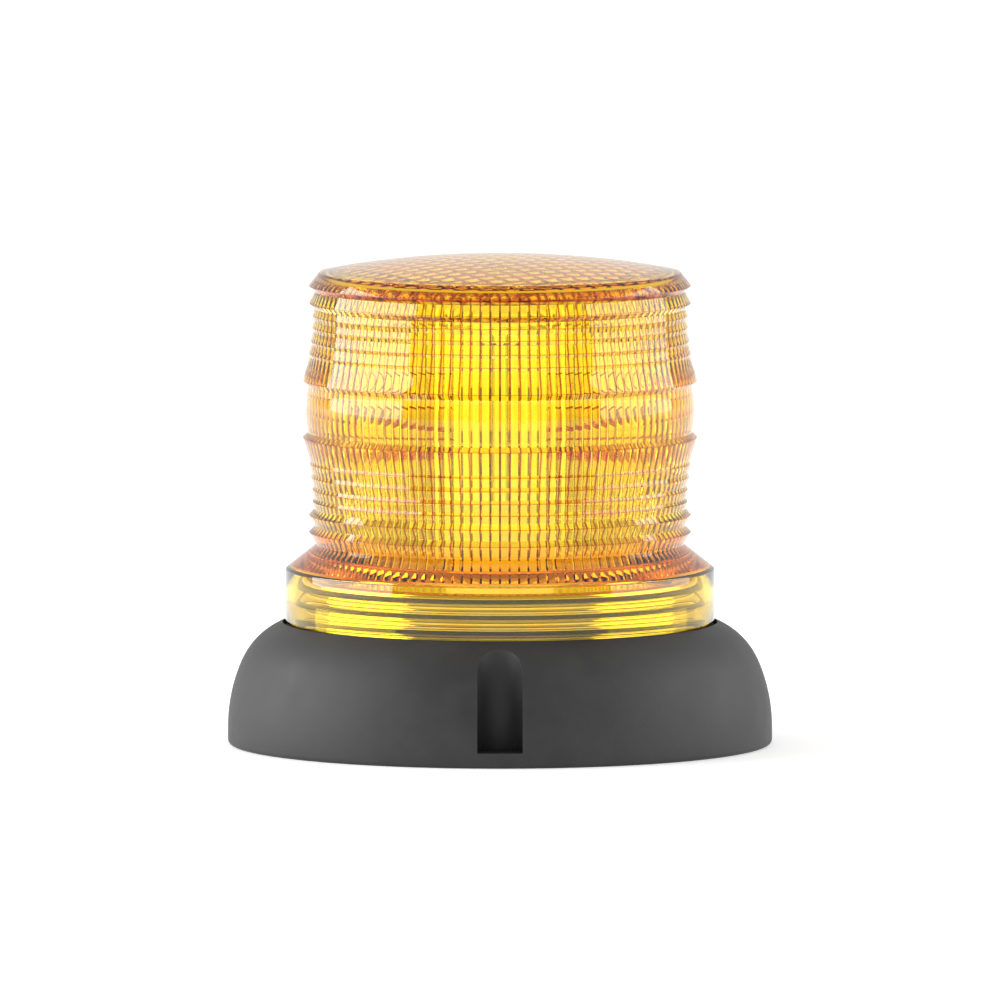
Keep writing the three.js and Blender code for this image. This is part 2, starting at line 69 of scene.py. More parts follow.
# The outer prism rings, as (radius, height) corners from the neck up to the dome's rim.
PRISMS = [
    (47.3, 51.5), (49.2, 54.7), (47.6, 56.3), (49.2, 59.1), (47.75, 60.7),
    (48.3, 62.6), (47.85, 63.5), (48.4, 65.7), (47.95, 66.6), (48.8, 68.9),
    (48.5, 70.0), (49.2, 72.3), (49.0, 73.1), (50.8, 79.1), (49.45, 80.4),
    (49.9, 83.2), (50.1, 86.0), (49.9, 89.2), (49.5, 92.4), (50.8, 93.7),
    (50.2, 96.0), (49.6, 97.6), (49.0, 99.9), (49.2, 100.7), (48.5, 103.1),
    (48.8, 103.9), (48.1, 106.4), (48.4, 107.4), (47.9, 109.2), (48.35, 110.5),
    (47.75, 112.3), (49.15, 113.6), (47.6, 116.7), (49.2, 118.1),
]

# Heights of the rings' sharp outer edges.
PRISM_EDGES = (54.7, 59.1, 62.6, 65.7, 68.9, 72.3, 79.1, 93.7)
PRISM_EDGES += (100.7, 103.9, 107.4, 110.5, 113.6, 118.1)

BOXES = {name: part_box(name) for name in frame["nodes"]}


def height_of(node, end):
    """The lowest (end 0) or highest (end 1) point of a CAD node, in millimetres."""
    return BOXES[node][end][2] / MM


def radius_of(node):
    """The radius of a turned CAD node that stands on the axis, in millimetres."""
    return BOXES[node][1][0] / MM


def place_of(node):
    """Where a CAD node's middle stands in plan, in millimetres."""
    low, high = BOXES[node]
    return (low[0] + high[0]) / 2 / MM, (low[1] + high[1]) / 2 / MM


# ---------------------------------------------------------------- mesh helpers


def arc(centre, radius, start, end, steps):
    """Points (r, z) on an arc; angles in degrees up from the outward direction."""
    angles = [radians(start + (end - start) * i / steps) for i in range(steps + 1)]
    return [(centre[0] + radius * cos(a), centre[1] + radius * sin(a)) for a in angles]


def soften(profile, radius, closed=False, least=20.0):
    """Rounds each corner of a profile that turns more than least degrees."""
    count = len(profile)
    out = []
    for i, point in enumerate(profile):
        if not closed and i in (0, count - 1):
            out.append(point)
            continue
        here = Vector(point)
        before = Vector(profile[i - 1]) - here
        after = Vector(profile[(i + 1) % count]) - here
        turn = pi - before.angle(after, 0.0)
        if degrees(turn) < least:
            out.append(point)
            continue
        reach = radius * abs(sin(turn / 2) / cos(turn / 2))
        reach = min(reach, before.length * 0.4, after.length * 0.4)
        start = here + before.normalized() * reach
        end = here + after.normalized() * reach
        middle = (start + end) / 4 + here / 2
        out += [tuple(start), tuple(middle), tuple(end)]
    return out


def ring_rows(profile, sides):
    """Vertices of a turned profile, row by row, in metres."""
    turns = [tau * i / sides for i in range(sides)]
    return [(r * MM * cos(a), r * MM * sin(a), z * MM) for r, z in profile for a in turns]


def row_faces(rows, sides, start=0, closed=False):
    """The four-sided faces between rows of vertices, the first of which is number start."""
    faces = []
    for row in range(rows if closed else rows - 1):
        low = start + row * sides
        high = start + ((row + 1) % rows) * sides
        for i in range(sides):
            j = (i + 1) % sides
            faces.append((low + i, low + j, high + j, high + i))
    return faces


def turned(profile, sides, place=(0, 0)):
    """A closed solid of revolution. A profile that isn't a loop starts and ends at radius 0."""
    on_axis = profile[0][0] == 0
    inner = profile[1:-1] if on_axis else profile
    vertices = ring_rows(inner, sides)
    faces = row_faces(len(inner), sides, closed=not on_axis)
    if on_axis:
        last = (len(inner) - 1) * sides
        vertices += [(0, 0, profile[0][1] * MM), (0, 0, profile[-1][1] * MM)]
        foot, tip = len(vertices) - 2, len(vertices) - 1
        for i in range(sides):
            j = (i + 1) % sides
            faces.append((foot, j, i))
            faces.append((tip, last + i, last + j))
    moved = [(x + place[0] * MM, y + place[1] * MM, z) for x, y, z in vertices]
    return moved, faces


def prism(outline, bottom, top):
    """An upright solid from a plan outline in millimetres."""
    count = len(outline)
    vertices = [(x * MM, y * MM, z * MM) for z in (bottom, top) for x, y in outline]
    faces = [tuple(range(count - 1, -1, -1)), tuple(range(count, 2 * count))]
    faces += [(i, (i + 1) % count, count + (i + 1) % count, count + i) for i in range(count)]
    return vertices, faces


def box(low, high):
    """A block between two (x, y, z) corners in millimetres."""
    outline = [(low[0], low[1]), (high[0], low[1]), (high[0], high[1]), (low[0], high[1])]
    return prism(outline, low[2], high[2])


def on_circle(radius, angle):
    """The (x, y) at a radius and an angle in degrees."""
    return radius * cos(radians(angle)), radius * sin(radians(angle))


def disc(radius, bottom, top, place, sides=32):
    """A round bar that stands at a place in plan."""
    points = [on_circle(radius, 360 * i / sides) for i in range(sides)]
    return prism([(place[0] + x, place[1] + y) for x, y in points], bottom, top)


def merged(parts):
    """One list of vertices and faces from several (vertices, faces) pairs."""
    vertices, faces = [], []
    for more_vertices, more_faces in parts:
        base = len(vertices)
        vertices += more_vertices
        faces += [tuple(base + i for i in face) for face in more_faces]
    return vertices, faces


def new_object(name, shape, sharp=30.0):
    """A smooth-shaded mesh object with its faces out and its edges past sharp degrees kept crisp."""
    mesh = bpy.data.meshes.new(name)
    mesh.from_pydata(shape[0], [], shape[1])
    work = bmesh.new()
    work.from_mesh(mesh)
    bmesh.ops.recalc_face_normals(work, faces=work.faces)
    work.to_mesh(mesh)
    work.free()
    mesh.polygons.foreach_set("use_smooth", [True] * len(mesh.polygons))
    mesh.set_sharp_from_angle(angle=radians(sharp))
    obj = bpy.data.objects.new(name, mesh)
    bpy.context.scene.collection.objects.link(obj)
    return obj


def apply_modifiers(obj, sharp=30.0):
    """Puts the result of the object's modifiers in its mesh."""
    depsgraph = bpy.context.evaluated_depsgraph_get()
    mesh = bpy.data.meshes.new_from_object(obj.evaluated_get(depsgraph))
    obj.modifiers.clear()
    obj.data = mesh
    mesh.polygons.foreach_set("use_smooth", [True] * len(mesh.polygons))
    mesh.set_sharp_from_angle(angle=radians(sharp))


def cut_with(obj, shape, operation="DIFFERENCE"):
    """Takes a closed shape out of obj, or joins it on."""
    tool = new_object("cutter", shape)
    modifier = obj.modifiers.new("cut", "BOOLEAN")
    modifier.operation = operation
    modifier.solver = "EXACT"
    modifier.object = tool
    apply_modifiers(obj)
    bpy.data.objects.remove(tool)


def rounded(obj, width, segments=2, limit=40.0):
    """Rounds the edges that turn more than limit degrees, by a width in millimetres."""
    modifier = obj.modifiers.new("edge", "BEVEL")
    modifier.width = width * MM
    modifier.segments = segments
    modifier.limit_method = "ANGLE"
    modifier.angle_limit = radians(limit)
    modifier.harden_normals = False
    apply_modifiers(obj)


REBUILT = set()  # CAD nodes that a finer piece stands for


def finish_piece(obj, body, material, replaced):
    """Paints a piece, sets it on its body, and notes the CAD nodes that it stands for."""
    obj.data.materials.clear()
    obj.data.materials.append(material)
    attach(obj, body)
    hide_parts(*replaced)
    REBUILT.update(replaced)


# ---------------------------------------------------------------- materials


class Nodes:
    """A material with one Principled shader and short calls to wire nodes to it."""

    def __init__(self, name, colour, roughness, metallic=0.0):
        self.material = bpy.data.materials.new(name)
        self.material.use_nodes = True
        self.tree = self.material.node_tree
        self.shader = self.tree.nodes["Principled BSDF"]
        self.output = self.tree.nodes["Material Output"]
        self.shader.inputs["Base Color"].default_value = (*colour, 1.0)
        self.shader.inputs["Roughness"].default_value = roughness
        self.shader.inputs["Metallic"].default_value = metallic
        self.coordinates = self.tree.nodes.new("ShaderNodeTexCoord").outputs["Object"]

    def node(self, kind, **values):
        """A new node with some of its settings given."""
        node = self.tree.nodes.new(kind)
        for key, value in values.items():
            setattr(node, key, value)
        return node

    def link(self, source, target):
        """Wires an output socket to an input socket."""
        self.tree.links.new(source, target)

    def stretched(self, scale):
        """Object coordinates scaled by axis."""
        mapping = self.node("ShaderNodeMapping")
        mapping.inputs["Scale"].default_value = scale
        self.link(self.coordinates, mapping.inputs["Vector"])
        return mapping.outputs["Vector"]

    def noise(self, scale, detail=3.0, vector=None):
        """A noise value, mostly between 0.3 and 0.7."""
        noise = self.node("ShaderNodeTexNoise")
        noise.inputs["Scale"].default_value = scale
        noise.inputs["Detail"].default_value = detail
        self.link(vector or self.coordinates, noise.inputs["Vector"])
        return noise.outputs["Fac"]

    def ramp(self, source, stops, blend="LINEAR"):
        """A colour from (place, colour) stops in rising order."""
        ramp = self.node("ShaderNodeValToRGB")
        ramp.color_ramp.interpolation = blend
        elements = ramp.color_ramp.elements
        for element, (place, colour) in zip(elements, (stops[0], stops[-1])):
            element.position = place
            element.color = (*colour, 1.0)
        for place, colour in stops[1:-1]:
            elements.new(place).color = (*colour, 1.0)
        self.link(source, ramp.inputs["Fac"])
        return ramp.outputs["Color"]

    def between(self, source, low, high):
        """source from 0.3 to 0.7 mapped to low to high."""
        spread = self.node("ShaderNodeMapRange")
        spread.inputs["From Min"].default_value = 0.3
        spread.inputs["From Max"].default_value = 0.7
        spread.inputs["To Min"].default_value = low
        spread.inputs["To Max"].default_value = high
        self.link(source, spread.inputs["Value"])
        return spread.outputs["Result"]

    def math(self, operation, first, second):
        """A sum, product or comparison; each operand is a socket or a number."""
        node = self.node("ShaderNodeMath", operation=operation)
        for operand, socket in zip((first, second), node.inputs):
            if isinstance(operand, (int, float)):
                socket.default_value = operand
            else:
                self.link(operand, socket)
        return node.outputs["Value"]

    def spread(self, source, start, end):
        """source from start to end mapped to 0 to 1, and held there outside."""
        node = self.node("ShaderNodeMapRange")
        node.inputs["From Min"].default_value = start
        node.inputs["From Max"].default_value = end
        self.link(source, node.inputs["Value"])
        return node.outputs["Result"]

    def multiplied(self, first, second):
        """Two colours multiplied."""
        node = self.node("ShaderNodeVectorMath", operation="MULTIPLY")
        self.link(first, node.inputs[0])
        self.link(second, node.inputs[1])
        return node.outputs["Vector"]

    def glow(self, colour, strength):
        """Light given off by the surface."""
        self.shader.inputs["Emission Color"].default_value = (*colour, 1.0)
        self.shader.inputs["Emission Strength"].default_value = strength

    def colour(self, socket):
        """A base colour from a socket."""
        self.link(socket, self.shader.inputs["Base Color"])

    def roughness(self, socket):
        """A roughness from a socket."""
        self.link(socket, self.shader.inputs["Roughness"])

    def bump(self, height, distance, strength=1.0):
        """Relief from a height socket, distance millimetres deep."""
        bump = self.node("ShaderNodeBump")
        bump.inputs["Distance"].default_value = distance * MM
        bump.inputs["Strength"].default_value = strength
        self.link(height, bump.inputs["Height"])
        self.link(bump.outputs["Normal"], self.shader.inputs["Normal"])


def speckled(name, dark, light, roughness, grain, depth, metallic=0.0, patch=90.0):
    """A moulded or cast finish: broad patches of two near colours over a fine bumpy grain."""
    nodes = Nodes(name, light, roughness[0], metallic)
    broad = nodes.noise(patch, 4.0)
    fine = nodes.noise(grain, 2.0)
    nodes.colour(nodes.ramp(broad, [(0.35, dark), (0.65, light)]))
    nodes.roughness(nodes.between(broad, *roughness))
    nodes.bump(fine, depth)
    return nodes


# Where the painted shade on the lens lies: the lowest and highest radius or height of each part.
WALL_RADII, WALL_HEIGHTS = (47.1, 51.2), (52.0, 118.6)
BULGE_HEIGHTS = (80.4, 92.6)
CONE_RADII = (47.1, 54.9)
SHELF_RADII, SHELF_HEIGHTS = (43.9, 52.8), (44.8, 46.7)
SKIRT_RADII, SKIRT_HEIGHTS = (52.8, 60.0), (28.0, 44.5)
RIM_RADII, RIM_HEIGHTS = (45.5, 49.6), (116.9, 121.6)

# Parts with painted shade, a deeper amber, all over: radii, heights and the share of that shade.
SHADED_ZONES = [(SHELF_RADII, SHELF_HEIGHTS, 0.5), (SKIRT_RADII, SKIRT_HEIGHTS, 0.1)]
SHADED_ZONES.append((RIM_RADII, RIM_HEIGHTS, 0.28))

# The painted shade over the cone and the neck, as (height, share).
NECK_SHADE = [(44.0, 0.0), (45.3, 0.0), (46.0, 0.38), (50.4, 0.48), (51.2, 0.52), (52.0, 0.5)]
NECK_SHADE += [(52.4, 0.36), (54.6, 0.3), (55.2, 0.1), (57.0, 0.0), (60.0, 0.0)]
EDGE_HALF = 0.15  # mm, half the height of the band of painted shade round a ring's edge
# The share of painted shade in that band.
EDGE_SHADE = 0.7
LINE_OUTER, LINE_INNER = 0.12, 0.06  # half widths of a line of painted shade and its dark middle, in flute pitches
BULGE_FADE = 0.35  # how much paler the painted shade lines are on the bulge
CELLS_TOP, CELLS_FOOT = 1.5, 4.6  # mm under the dome's skin where the cells' edges, with their painted shade, lie

AMBER_ABSORPTION = (0.997, 0.955, 0.02)
AMBER_DENSITY = 780.0
AMBER_CLEAR = (1.0, 0.97, 0.88)
# Painted shade: a deeper, then a darker amber, where light bent or trapped in the plastic makes the
# lens look darker.
AMBER_SHADE = (1.0, 0.36, 0.015)
AMBER_DEEP_SHADE = (0.24, 0.04, 0.006)
# Painted shade along the lines between the flutes: at a line's edge and in its middle.
LINE_SHADE_EDGE = (0.96, 0.37, 0.02)
LINE_SHADE_MIDDLE = (0.22, 0.04, 0.006)


def distance_from_axis(nodes):
    """Each point's distance from the lens axis, in metres."""
    flat = nodes.node("ShaderNodeVectorMath", operation="MULTIPLY")
    nodes.link(nodes.coordinates, flat.inputs[0])
    flat.inputs[1].default_value = (1.0, 1.0, 0.0)
    length = nodes.node("ShaderNodeVectorMath", operation="LENGTH")
    nodes.link(flat.outputs["Vector"], length.inputs[0])
    return length.outputs["Value"]


def within(nodes, source, low, high):
    """1 where source lies between two lengths in millimetres, 0 elsewhere."""
    above = nodes.math("GREATER_THAN", source, low * MM)
    below = nodes.math("LESS_THAN", source, high * MM)
    return nodes.math("MULTIPLY", above, below)


def in_ring(nodes, axes, away, radii, heights):
    """1 in a ring-shaped space round the axis, 0 elsewhere."""
    return nodes.math("MULTIPLY", within(nodes, away, *radii), within(nodes, axes["Z"], *heights))


def line_shade(nodes, axes, away):
    """1 along the upright lines between the flutes, where they show on the lens's outside and get
    painted shade.
    """
    angle = nodes.math("ARCTAN2", axes["Y"], axes["X"])
    turns = nodes.math("MULTIPLY", angle, FLUTES / tau)
    offset = nodes.math("PINGPONG", turns, 0.5)
    line = nodes.spread(offset, LINE_OUTER, LINE_INNER)
    wall = in_ring(nodes, axes, away, WALL_RADII, WALL_HEIGHTS)
    bulge = within(nodes, axes["Z"], *BULGE_HEIGHTS)
    weight = nodes.math("SUBTRACT", 1.0, nodes.math("MULTIPLY", bulge, BULGE_FADE))
    return nodes.math("MULTIPLY", line, nodes.math("MULTIPLY", wall, weight))


def height_ramp(nodes, axes, steps, blend="LINEAR"):
    """A share that changes with height, from (height, share) steps in rising order."""
    low, high = steps[0][0], steps[-1][0]
    scaled = nodes.math("DIVIDE", nodes.math("SUBTRACT", axes["Z"], low * MM), (high - low) * MM)
    stops = [((height - low) / (high - low), (share,) * 3) for height, share in steps]
    return nodes.ramp(scaled, stops, blend)


def neck_shade(nodes, axes, away):
    """Painted shade, a deeper amber, on the cone over the skirt, deepest in the angle under the lowest
    ring.
    """
    shade_amount = height_ramp(nodes, axes, NECK_SHADE)
    return nodes.math("MULTIPLY", shade_amount, within(nodes, away, *CONE_RADII))


def edge_shade(nodes, axes, away):
    """Painted shade, a deeper amber, in a thin band round the edge of each prism ring."""
    steps = [(50.0, 0.0)]
    for height in PRISM_EDGES:
        steps.append((height - EDGE_HALF, EDGE_SHADE))
        steps.append((height + EDGE_HALF, 0.0))
    bands = height_ramp(nodes, axes, steps + [(120.0, 0.0)], "CONSTANT")
    return nodes.math("MULTIPLY", bands, within(nodes, away, *WALL_RADII))


def cell_edge_shade(nodes, x_share, y_share, axes):
    """1 on one family of the straight edges between the dome's cells, where shade is painted, 0 in the
    cells' middles.
    """
    along_x = nodes.math("MULTIPLY", axes["X"], x_share * pi / (CELL_PITCH * MM))
    along_y = nodes.math("MULTIPLY", axes["Y"], y_share * pi / (CELL_PITCH * MM))
    wave = nodes.math("ABSOLUTE", nodes.math("SINE", nodes.math("ADD", along_x, along_y), 0), 0)
    return nodes.spread(wave, 0.6, 0.15)


def cell_shade(nodes, axes):
    """1 on the edges between the cells under the dome, where shade is painted, 0 elsewhere on the
    lens.
    """
    first = cell_edge_shade(nodes, cos(CELL_TURN), sin(CELL_TURN), axes)
    second = cell_edge_shade(nodes, -sin(CELL_TURN), cos(CELL_TURN), axes)
    square_x = nodes.math("MULTIPLY", axes["X"], axes["X"])
    square_y = nodes.math("MULTIPLY", axes["Y"], axes["Y"])
    drop = nodes.math("MULTIPLY", nodes.math("ADD", square_x, square_y), 0.5 / (DOME_RADIUS * MM))
    level = nodes.math("ADD", axes["Z"], drop)
    top = height_of("lens", 1)
    below = nodes.math("LESS_THAN", level, (top - CELLS_TOP) * MM)
    above = nodes.math("GREATER_THAN", level, (top - CELLS_FOOT) * MM)
    shell = nodes.math("MULTIPLY", below, above)
    return nodes.math("MULTIPLY", nodes.math("MAXIMUM", first, second), shell)


def amber_glass():
    """Clear amber plastic, with painted shade along its flutes, ring edges and cell edges, and over
    its neck, shelf, skirt and rim.
    """
    nodes = Nodes("amber_polycarbonate_painted_shade", AMBER_CLEAR, 0.02)
    nodes.shader.inputs["Transmission Weight"].default_value = 1.0
    nodes.shader.inputs["IOR"].default_value = 1.55
    nodes.shader.inputs["Specular IOR Level"].default_value = 0.36
    axes = nodes.node("ShaderNodeSeparateXYZ")
    nodes.link(nodes.coordinates, axes.inputs["Vector"])
    away = distance_from_axis(nodes)
    shade_shares = [share(nodes, axes.outputs, away) for share in (edge_shade, neck_shade)]
    # Painted shade over whole parts of the lens.
    for radii, heights, shade_amount in SHADED_ZONES:
        ring = in_ring(nodes, axes.outputs, away, radii, heights)
        shade_shares.append(nodes.math("MULTIPLY", ring, shade_amount))
    # depth is the share of painted shade at each point, the largest of all; it picks a deeper, then
    # darker amber.
    depth = cell_shade(nodes, axes.outputs)
    for share in shade_shares:
        depth = nodes.math("MAXIMUM", depth, share)
    shaded_amber = nodes.ramp(depth, [(0.0, AMBER_CLEAR), (0.5, AMBER_SHADE), (1.0, AMBER_DEEP_SHADE)])
    # The painted shade lines between the flutes, multiplied into the colour.
    lines = line_shade(nodes, axes.outputs, away)
    line_shaded = nodes.ramp(lines, [(0.0, (1.0, 1.0, 1.0)), (0.5, LINE_SHADE_EDGE), (1.0, LINE_SHADE_MIDDLE)])
    nodes.colour(nodes.multiplied(shaded_amber, line_shaded))
    flow = nodes.noise(140.0, 3.0)
    nodes.roughness(nodes.between(flow, 0.01, 0.04))
    nodes.bump(flow, 0.01, 0.4)
    volume = nodes.node("ShaderNodeVolumeAbsorption")
    volume.inputs["Color"].default_value = (*AMBER_ABSORPTION, 1.0)
    volume.inputs["Density"].default_value = AMBER_DENSITY
    nodes.link(volume.outputs["Volume"], nodes.output.inputs["Volume"])
    return nodes.material


def boot_rubber():
    """Dull black rubber with a fine grain."""
    dark, light = (0.026, 0.026, 0.026), (0.036, 0.036, 0.036)
    nodes = speckled("boot_rubber", dark, light, (0.52, 0.64), 2600.0, 0.03)
    nodes.shader.inputs["Specular IOR Level"].default_value = 0.38
    return nodes.material


def seal_rubber():
    """Smooth black rubber, a little shinier than the boot."""
    dark, light = (0.008, 0.008, 0.008), (0.014, 0.014, 0.014)
    return speckled("seal_rubber", dark, light, (0.35, 0.5), 1800.0, 0.02).material


def black_plastic():
    """Moulded black casing plastic."""
    dark, light = (0.018, 0.018, 0.02), (0.028, 0.028, 0.03)
    return speckled("black_plastic", dark, light, (0.45, 0.6), 3500.0, 0.03).material


def reflector():
    """Metallised plastic: a bright mirror, a little wavy."""
    nodes = Nodes("reflector", (0.93, 0.92, 0.9), 0.1, 1.0)
    wave = nodes.noise(60.0, 2.0)
    nodes.colour(nodes.ramp(wave, [(0.35, (0.88, 0.87, 0.85)), (0.65, (0.95, 0.94, 0.92))]))
    nodes.roughness(nodes.between(wave, 0.06, 0.14))
    nodes.bump(wave, 0.02, 0.2)
    return nodes.material


def white_plastic():
    """White plastic with a painted glow all over, standing in for a little of the lamp's light coming
    through it.
    """
    dark, light = (0.84, 0.83, 0.79), (0.9, 0.89, 0.86)
    nodes = speckled("white_plastic", dark, light, (0.2, 0.35), 1500.0, 0.01)
    # Painted glow: the plastic gives off light, though it is no lamp.
    nodes.glow((1.0, 0.95, 0.8), 0.5)
    return nodes.material


def led_board():
    """A white board with a painted glow all over, board and lights alike, that brightens the tower
    inside the lens.
    """
    dark, light = (0.85, 0.84, 0.78), (0.9, 0.9, 0.86)
    nodes = speckled("led_board", dark, light, (0.3, 0.45), 700.0, 0.01)
    # Painted glow: the whole board gives off light, to brighten the tower seen through the lens.
    nodes.glow((1.0, 0.92, 0.75), 0.75)
    return nodes.material


def button_rubber():
    """Orange silicone."""
    dark, light = (0.58, 0.1, 0.012), (0.68, 0.14, 0.02)
    return speckled("button_rubber", dark, light, (0.45, 0.6), 2200.0, 0.02).material


def wire_cover(name, dark, light):
    """The soft cover of a wire."""
    return speckled(name, dark, light, (0.35, 0.5), 900.0, 0.02).material


def ferrite():
    """A sintered grey magnet."""
    dark, light = (0.05, 0.05, 0.055), (0.09, 0.09, 0.09)
    return speckled("ferrite", dark, light, (0.4, 0.65), 1200.0, 0.04, 0.3).material


def brushed(name, dark, light, roughness, scale=(1.0, 1.0, 40.0)):
    """Metal with fine drawn lines."""
    nodes = Nodes(name, light, roughness[0], 1.0)
    lines = nodes.noise(220.0, 3.0, nodes.stretched(scale))
    nodes.colour(nodes.ramp(lines, [(0.3, dark), (0.7, light)]))
    nodes.roughness(nodes.between(lines, *roughness))
    nodes.bump(lines, 0.01, 0.5)
    return nodes.material


def circuit_board():
    """Green solder mask with paler copper tracks under it."""
    nodes = Nodes("circuit_board", (0.01, 0.12, 0.05), 0.35)
    bricks = nodes.node("ShaderNodeTexBrick")
    bricks.inputs["Scale"].default_value = 260.0
    bricks.inputs["Mortar Size"].default_value = 0.05
    bricks.inputs["Color1"].default_value = (0.008, 0.1, 0.04, 1.0)
    bricks.inputs["Color2"].default_value = (0.01, 0.13, 0.05, 1.0)
    bricks.inputs["Mortar"].default_value = (0.03, 0.24, 0.1, 1.0)
    nodes.link(nodes.coordinates, bricks.inputs["Vector"])
    nodes.colour(bricks.outputs["Color"])
    nodes.roughness(nodes.between(nodes.noise(300.0), 0.3, 0.45))
    nodes.bump(bricks.outputs["Fac"], 0.02)
    return nodes.material


def cell_sleeve():
    """A dark blue metallic foil."""
    dark, light = (0.03, 0.05, 0.1), (0.05, 0.08, 0.15)
    return speckled("cell_sleeve", dark, light, (0.25, 0.4), 500.0, 0.01, 0.6).material


# ---------------------------------------------------------------- lens

OUTER_SIDES = 240
INNER_SIDES = 720
CELL_STEPS = 6  # squares across one cell
CELL_DEPTH = 1.1
GROOVE_HALF = 0.11  # half a groove's width, as a share of the flutes' pitch

# Within one flute pitch: where a sample lies, and how far its groove cuts into the wall.
FLUTE_STEPS = [(0.0, 0.3), (GROOVE_HALF, 0.0), (0.3, -0.06), (0.5, -0.08), (0.7, -0.06)]
FLUTE_STEPS.append((1 - GROOVE_HALF, 0.0))


def dome_height(radius, at):
    """Height of a dome of that radius about the lens top's centre, at a distance from the axis."""
    centre = height_of("lens", 1) - DOME_RADIUS
    return centre + sqrt(radius * radius - at * at)


def lens_outside():
    """The outer profile from the foot of the skirt to just short of the dome's middle."""
    foot = height_of("lens", 0)
    skirt = radius_of("lens")
    edge = [(SKIRT_LIP, foot), (skirt, foot), (skirt, foot + SKIRT_HEIGHT)]
    crown = [(r, dome_height(DOME_RADIUS, r)) for r in (RIM_RADIUS, 40.0)]
    dome = [(r, dome_height(DOME_RADIUS, r)) for r in (34.0, 28.0, 22.0, 16.0, 10.0, 5.0, 1.5)]
    return soften(edge + PRISMS + crown, 0.2) + dome


def lens_inside():
    """The inner profile up to the dome's edge: radius, height and share of the flutes' depth."""
    foot = height_of("lens", 0)
    rows = [(SKIRT_BORE, foot), (SKIRT_BORE, 44.6), (52.4, 45.2), (45.8, 45.8), (45.2, 46.0)]
    plain = [(r, z, 0.0) for r, z in rows]
    heights = [(46.5, 0.0), (46.8, 0.7), (47.3, 1.0), (60.0, 1.0), (73.0, 1.0), (86.0, 1.0)]
    heights += [(97.0, 1.0), (108.0, 1.0), (116.2, 1.0), (117.0, 0.85)]
    flutes = [(INSIDE_RADIUS, z, share) for z, share in heights]
    flutes += [(INSIDE_RADIUS - 0.1, 117.5, 0.5), (INSIDE_RADIUS - 0.3, 117.8, 0.0)]
    top = dome_height(DOME_RADIUS - DOME_WALL, DOME_EDGE)
    close = [(44.0, 118.5, 0.0), (43.2, top - 0.3, 0.0), (DOME_EDGE, top, 0.0)]
    return plain + flutes + close


def inner_rows(profile):
    """Vertices of the fluted inner wall, row by row, in metres."""
    vertices = []
    per_flute = len(FLUTE_STEPS)
    for r, z, share in profile:
        for i in range(INNER_SIDES):
            place, depth = FLUTE_STEPS[i % per_flute]
            angle = tau * (i // per_flute + place) / FLUTES
            radius = (r + depth * share) * MM
            vertices.append((radius * cos(angle), radius * sin(angle), z * MM))
    return vertices


def pillow(x, y):
    """Depth in millimetres of the square cells under the dome, deepest in each cell's middle."""
    u = (x * cos(CELL_TURN) + y * sin(CELL_TURN)) / CELL_PITCH
    v = (y * cos(CELL_TURN) - x * sin(CELL_TURN)) / CELL_PITCH
    across = abs(sin(pi * u))
    along = abs(sin(pi * v))
    fade = min(1.0, max(0.0, (DOME_EDGE - FADE_END - sqrt(x * x + y * y)) / FADE_WIDTH))
    return CELL_DEPTH * sqrt(across * along) * fade


def dome_cells(ring):
    """The dome's underside in plan: square cells, and triangles out to a ring of (x, y) points."""
    step = CELL_PITCH / CELL_STEPS
    count = int(DOME_EDGE / step) + 1
    work = bmesh.new()
    corners = {}
    for i in range(-count, count + 1):
        for j in range(-count, count + 1):
            a, b = i * step, j * step
            if sqrt(a * a + b * b) < DOME_EDGE - CELL_MARGIN:
                x = a * cos(CELL_TURN) - b * sin(CELL_TURN)
                y = a * sin(CELL_TURN) + b * cos(CELL_TURN)
                corners[i, j] = work.verts.new((x, y, 0))
    for i, j in list(corners):
        square = [corners.get(key) for key in ((i, j), (i + 1, j), (i + 1, j + 1), (i, j + 1))]
        if all(square):
            work.faces.new(square)
    bmesh.ops.delete(work, geom=[v for v in work.verts if not v.link_faces], context="VERTS")
    border = [edge for edge in work.edges if edge.is_boundary]
    rim = [work.verts.new((x, y, 0)) for x, y in ring]
    border += [work.edges.new((a, b)) for a, b in zip(rim, rim[1:] + rim[:1])]
    bmesh.ops.triangle_fill(work, edges=border, use_beauty=True, normal=(0, 0, 1))
    work.verts.index_update()
    order = {vertex.index: i for i, vertex in enumerate(rim)}
    inner = [vertex for vertex in work.verts if vertex.index not in order]
    order.update({vertex.index: len(rim) + i for i, vertex in enumerate(inner)})
    points = [(vertex.co.x, vertex.co.y) for vertex in inner]
    faces = [tuple(order[vertex.index] for vertex in face.verts) for face in work.faces]
    work.free()
    return points, faces


